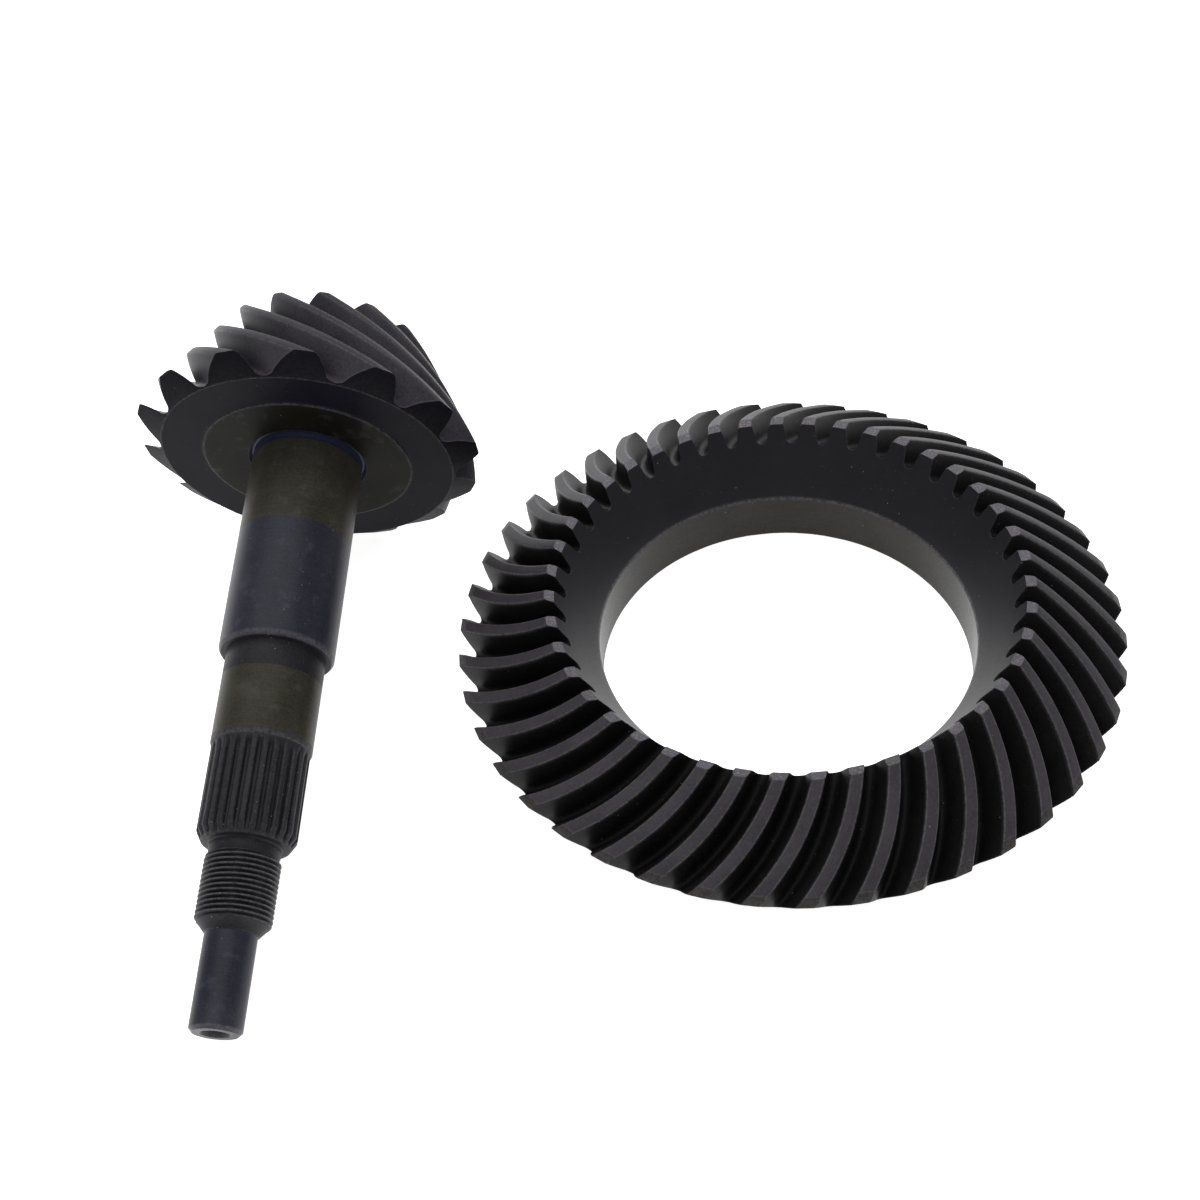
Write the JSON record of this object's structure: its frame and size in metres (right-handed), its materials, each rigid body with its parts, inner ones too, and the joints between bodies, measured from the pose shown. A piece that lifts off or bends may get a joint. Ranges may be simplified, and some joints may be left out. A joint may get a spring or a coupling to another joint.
{
  "type": "hypoid ring gear and pinion set",
  "caption": "Dark steel final-drive gear set: a spiral bevel ring gear lying flat beside its matching pinion with a stepped, splined and threaded shaft.",
  "frame": {"origin": "centre of the ring gear's bore on its back face, which is also the floor both pieces lie on", "axes": "+Z is the ring gear's axis and points up out of its teeth; +X points from the pinion's side to the ring gear; +Y runs roughly along the pinion's shaft, from its pilot end to its head"},
  "size_m": [0.307, 0.2303, 0.106],
  "materials": {
    "ring_gear": "dark phosphate over machined steel, satin",
    "pinion": "dark phosphate with ground bearing seats, satin"
  },
  "bodies": {
    "ring": {"ring_gear": "ring_gear"},
    "pinion": {"pinion": "pinion"}
  },
  "joints": [
    {"name": "pinion_spin", "type": "hinge", "parent": "ring", "child": "pinion", "pos_m": [-0.15289, 0.01672, 0.04331], "axis": [0.0778, 0.9664, 0.2452], "continuous": true}
  ]
}
